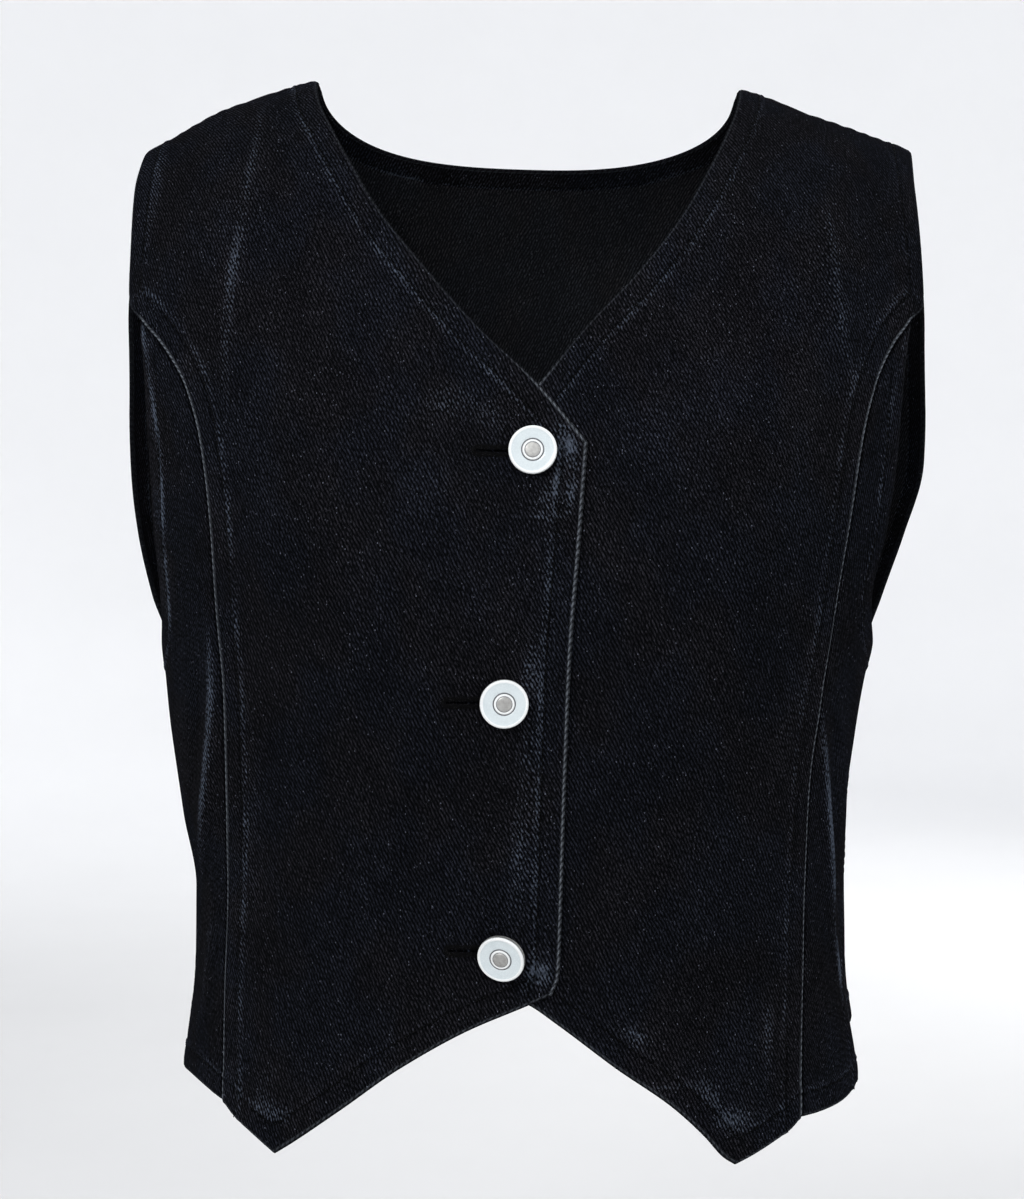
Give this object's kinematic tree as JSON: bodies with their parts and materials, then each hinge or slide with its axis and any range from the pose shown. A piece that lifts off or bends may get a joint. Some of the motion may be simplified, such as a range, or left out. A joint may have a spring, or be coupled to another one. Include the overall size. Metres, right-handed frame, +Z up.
{
  "type": "denim vest",
  "caption": "Sleeveless fitted denim vest in its worn shape, with a V neck, wide shoulders, pointed front hems and a buttoned, lapped front.",
  "frame": {"origin": "midway between the two shoulder-neck points, in the plane of the shoulder seams, at their mean height", "axes": "+Z up along the wearer's spine, front of the vest towards -Y, wearer's left towards +X"},
  "size_m": [0.3334, 0.2052, 0.4138],
  "materials": {
    "denim": "washed black-indigo right-hand twill denim, matt, paler where edges and seams are worn",
    "enamel": "glossy white enamel on a pressed metal button cap",
    "nickel": "plain nickel-plated tack and button centre"
  },
  "bodies": {
    "root": {"front_right": "denim", "front_left": "denim", "side_right": "denim", "side_left": "denim", "back": "denim", "button_top": "enamel", "button_middle": "enamel", "button_bottom": "enamel", "tack_top": "nickel", "tack_middle": "nickel", "tack_bottom": "nickel"}
  },
  "joints": []
}
